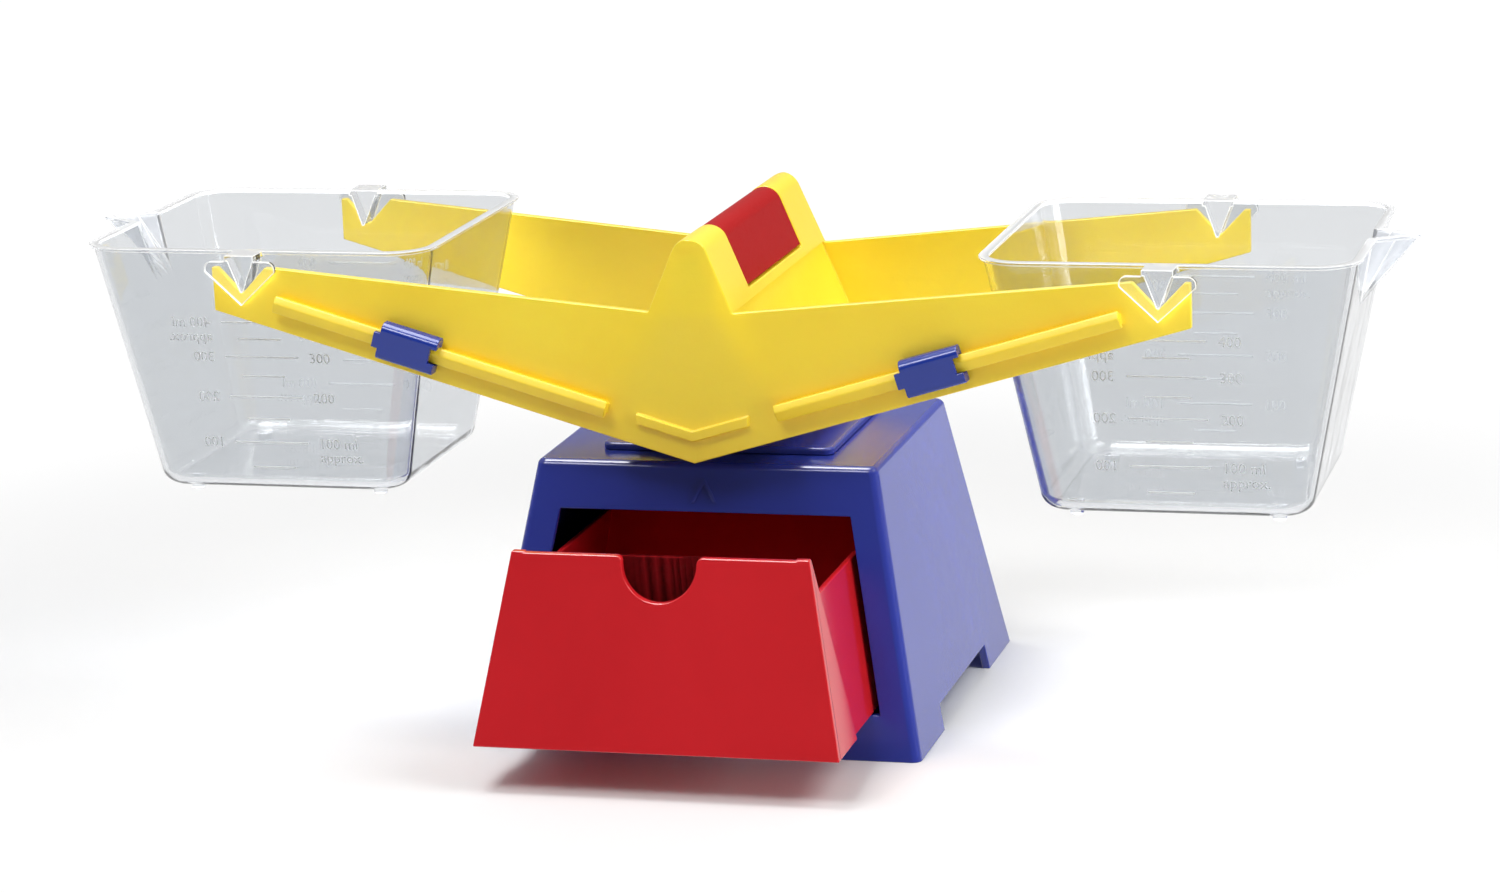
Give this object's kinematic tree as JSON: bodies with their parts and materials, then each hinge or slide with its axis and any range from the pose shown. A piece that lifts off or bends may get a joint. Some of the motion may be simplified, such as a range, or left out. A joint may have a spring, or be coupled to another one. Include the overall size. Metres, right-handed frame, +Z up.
{
  "type": "toy balance scale",
  "caption": "Toy bucket balance: a rocker beam on a knife edge carries clear hanging buckets and sliding levelling clips above a base with a drawer.",
  "frame": {"origin": "on the table, under the middle of the object's box with its drawer out", "axes": "+X along the beam to the right, +Y to the back, +Z up"},
  "size_m": [0.4236, 0.1846, 0.157],
  "materials": {
    "base_blue": "gloss moulded",
    "clip_blue": "gloss moulded",
    "drawer_red": "satin moulded",
    "saddle_red": "satin moulded",
    "beam_yellow": "satin moulded",
    "bucket_clear": "clear polished",
    "screw_steel": "zinc plated"
  },
  "bodies": {
    "base": {"base_shell": "base_blue", "base_floor": "base_blue", "fulcrum_stand": "base_blue", "floor_screw_front_left": "screw_steel", "floor_screw_front_right": "screw_steel", "floor_screw_rear_left": "screw_steel", "floor_screw_rear_right": "screw_steel", "stand_screw_front": "screw_steel", "stand_screw_rear": "screw_steel"},
    "drawer": {"drawer_front": "drawer_red", "drawer_tray": "drawer_red"},
    "beam": {"beam": "beam_yellow", "fulcrum_saddle": "saddle_red"},
    "compensator_left": {"compensator_left": "clip_blue"},
    "compensator_right": {"compensator_right": "clip_blue"},
    "bucket_left": {"bucket_left": "bucket_clear"},
    "bucket_right": {"bucket_right": "bucket_clear"}
  },
  "joints": [
    {"name": "beam_rock", "type": "hinge", "parent": "base", "child": "beam", "pos_m": [0, 0.02333, 0.15], "axis": [0, 1, 0], "range_deg": [-11, 11]},
    {"name": "bucket_left_swing", "type": "hinge", "parent": "beam", "child": "bucket_left", "pos_m": [-0.142, 0.02333, 0.1385], "axis": [0, 1, 0], "range_deg": [-15, 15]},
    {"name": "bucket_right_swing", "type": "hinge", "parent": "beam", "child": "bucket_right", "pos_m": [0.142, 0.02333, 0.1385], "axis": [0, 1, 0], "range_deg": [-15, 15]},
    {"name": "drawer_slide", "type": "slide", "parent": "base", "child": "drawer", "axis": [0, -1, 0], "range_m": [-0.05, 0.03]},
    {"name": "compensator_left_slide", "type": "slide", "parent": "beam", "child": "compensator_left", "axis": [-0.9595, 0, 0.2818], "range_m": [-0.054, 0.03]},
    {"name": "compensator_right_slide", "type": "slide", "parent": "beam", "child": "compensator_right", "axis": [0.9595, 0, 0.2818], "range_m": [-0.041, 0.044]}
  ]
}
